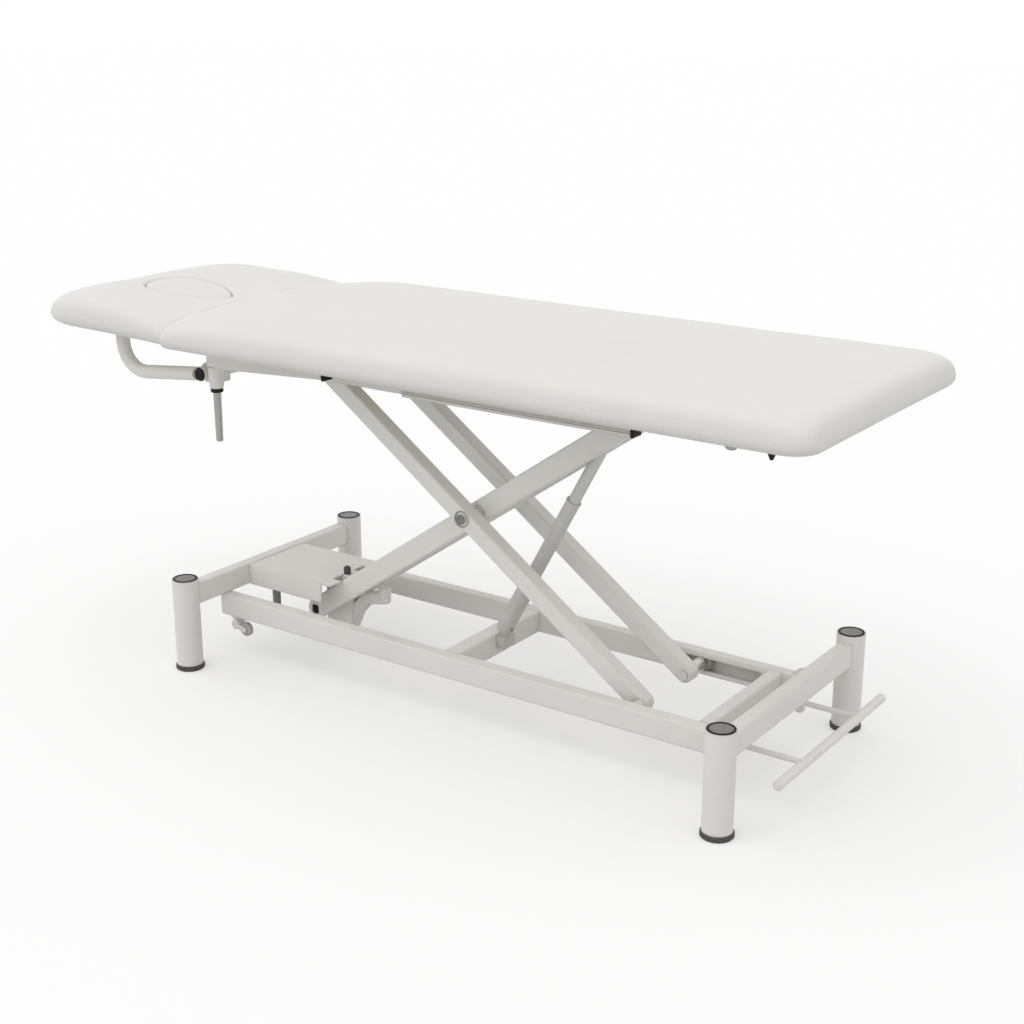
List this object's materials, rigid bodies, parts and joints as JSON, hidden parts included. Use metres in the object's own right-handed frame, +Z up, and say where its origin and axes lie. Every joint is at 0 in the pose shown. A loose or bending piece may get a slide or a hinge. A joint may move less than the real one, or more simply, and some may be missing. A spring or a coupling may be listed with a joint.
{
  "type": "massage table",
  "caption": "Height-adjustable massage table with a padded head and body section, a face-hole plug, a scissor lift with a cylinder, a tubular base and a foot pedal.",
  "frame": {"origin": "on the floor under the middle of the padded top", "axes": "+X towards the foot end, +Y away from the viewer, to the side without the clamp lever, +Z up"},
  "size_m": [1.9, 0.65, 0.7878],
  "materials": {
    "powder_coat": "light warm grey powder coat",
    "grey_plastic": "mid grey satin plastic",
    "rubber": "dark grey matt rubber",
    "zinc": "zinc plated steel",
    "nylon": "off-white nylon",
    "cylinder_grey": "grey satin paint",
    "black_plastic": "black plastic",
    "vinyl": "near-white upholstery vinyl over foam",
    "plywood": "plain plywood"
  },
  "bodies": {
    "base": {"castor_fork_far": "powder_coat", "castor_fork_near": "powder_coat", "cylinder_clevis": "cylinder_grey", "end_cross_member": "powder_coat", "foot_beam": "powder_coat", "foot_pad_foot_far": "rubber", "foot_pad_foot_near": "rubber", "foot_pad_head_far": "rubber", "foot_pad_head_near": "rubber", "head_beam": "powder_coat", "lower_pivot_shaft": "zinc", "mid_cross_member": "powder_coat", "post_cap_foot_far": "grey_plastic", "post_cap_foot_near": "grey_plastic", "post_cap_head_far": "grey_plastic", "post_cap_head_near": "grey_plastic", "post_foot_far": "powder_coat", "post_foot_near": "powder_coat", "post_head_far": "powder_coat", "post_head_near": "powder_coat", "rail_far": "powder_coat", "rail_near": "powder_coat", "tray": "powder_coat", "tray_peg": "rubber", "tray_stop": "rubber"},
    "inner_arms": {"inner_arm_far": "powder_coat", "inner_arm_near": "powder_coat", "rod_eye_pin": "zinc", "top_roller_axle": "zinc"},
    "outer_arms": {"base_axle_far": "zinc", "base_axle_near": "zinc", "centre_shaft": "zinc", "outer_arm_far": "powder_coat", "outer_arm_near": "powder_coat", "upper_pivot_shaft": "zinc"},
    "base_roller_near": {"base_roller_near": "nylon"},
    "base_roller_far": {"base_roller_far": "nylon"},
    "top_roller_near": {"top_roller_near": "nylon"},
    "top_roller_far": {"top_roller_far": "nylon"},
    "lift_barrel": {"lift_barrel": "cylinder_grey"},
    "lift_rod": {"lift_rod": "cylinder_grey"},
    "top": {"board_bumper": "black_plastic", "board_glide": "nylon", "body_board": "plywood", "body_cushion": "vinyl", "head_clamp": "powder_coat", "support_bar_far": "powder_coat", "support_bar_near": "powder_coat", "top_rail_far": "powder_coat", "top_rail_near": "powder_coat"},
    "head_section": {"head_board": "plywood", "head_cushion": "vinyl", "head_tube_far": "powder_coat", "head_tube_near": "powder_coat", "tilt_tube": "powder_coat"},
    "face_plug": {"face_plug": "vinyl"},
    "clamp_lever": {"clamp_lever": "zinc"},
    "pedal": {"pedal_frame": "powder_coat"},
    "castor_wheel_near": {"castor_wheel_near": "nylon"},
    "castor_wheel_far": {"castor_wheel_far": "nylon"}
  },
  "joints": [
    {"name": "lift", "type": "hinge", "parent": "base", "child": "inner_arms", "pos_m": [-0.304, 0, 0.13], "axis": [0, -1, 0], "range_deg": [-15.5, 3]},
    {"name": "scissor", "type": "hinge", "parent": "inner_arms", "child": "outer_arms", "pos_m": [0.11053, 0, 0.4149], "axis": [0, -1, 0], "range_deg": [-6.1, 31.1]},
    {"name": "top_level", "type": "hinge", "parent": "outer_arms", "child": "top", "pos_m": [-0.28307, 0, 0.69649], "axis": [0, -1, 0], "range_deg": [-15.6, 3.1]},
    {"name": "barrel_swing", "type": "hinge", "parent": "base", "child": "lift_barrel", "pos_m": [0.1435, 0, 0.161], "axis": [0, -1, 0], "range_deg": [-25.6, 5.1]},
    {"name": "rod_slide", "type": "slide", "parent": "lift_barrel", "child": "lift_rod", "axis": [0.4787, 0, 0.878], "range_m": [-0.0885, 0.0175]},
    {"name": "base_roller_near_spin", "type": "hinge", "parent": "outer_arms", "child": "base_roller_near", "pos_m": [0.52485, -0.157, 0.1185], "axis": [0, 1, 0], "continuous": true},
    {"name": "top_roller_near_spin", "type": "hinge", "parent": "inner_arms", "child": "top_roller_near", "pos_m": [0.50434, -0.1225, 0.68556], "axis": [0, 1, 0], "continuous": true},
    {"name": "base_roller_far_spin", "type": "hinge", "parent": "outer_arms", "child": "base_roller_far", "pos_m": [0.52485, 0.157, 0.1185], "axis": [0, 1, 0], "continuous": true},
    {"name": "top_roller_far_spin", "type": "hinge", "parent": "inner_arms", "child": "top_roller_far", "pos_m": [0.50434, 0.1225, 0.68556], "axis": [0, 1, 0], "continuous": true},
    {"name": "head_tilt", "type": "hinge", "parent": "top", "child": "head_section", "pos_m": [-0.4975, 0, 0.64728], "axis": [0, -1, 0], "range_deg": [0, 30]},
    {"name": "plug_lift_out", "type": "slide", "parent": "head_section", "child": "face_plug", "axis": [0, 0, 1], "range_m": [0, 0.12]},
    {"name": "lever_pull", "type": "slide", "parent": "top", "child": "clamp_lever", "axis": [0, 0, 1], "range_m": [-0.012, 0], "stiffness_N_per_m": 800, "springref_m": 0.01},
    {"name": "pedal_press", "type": "hinge", "parent": "base", "child": "pedal", "pos_m": [0.7255, 0, 0.104], "axis": [0, 1, 0], "range_deg": [0, 15], "stiffness_Nm_per_rad": 25, "springref_deg": -8.59},
    {"name": "castor_wheel_near_spin", "type": "hinge", "parent": "base", "child": "castor_wheel_near", "pos_m": [-0.4505, -0.157, 0.0665], "axis": [0, 1, 0], "continuous": true},
    {"name": "castor_wheel_far_spin", "type": "hinge", "parent": "base", "child": "castor_wheel_far", "pos_m": [-0.4505, 0.157, 0.0665], "axis": [0, 1, 0], "continuous": true}
  ],
  "couplings": [
    {"joint": "scissor", "follows": "lift", "ratio": -2},
    {"joint": "top_level", "follows": "lift", "ratio": 1},
    {"joint": "barrel_swing", "follows": "lift", "ratio": 1.6435},
    {"joint": "rod_slide", "follows": "lift", "m_per_rad": 0.324}
  ]
}
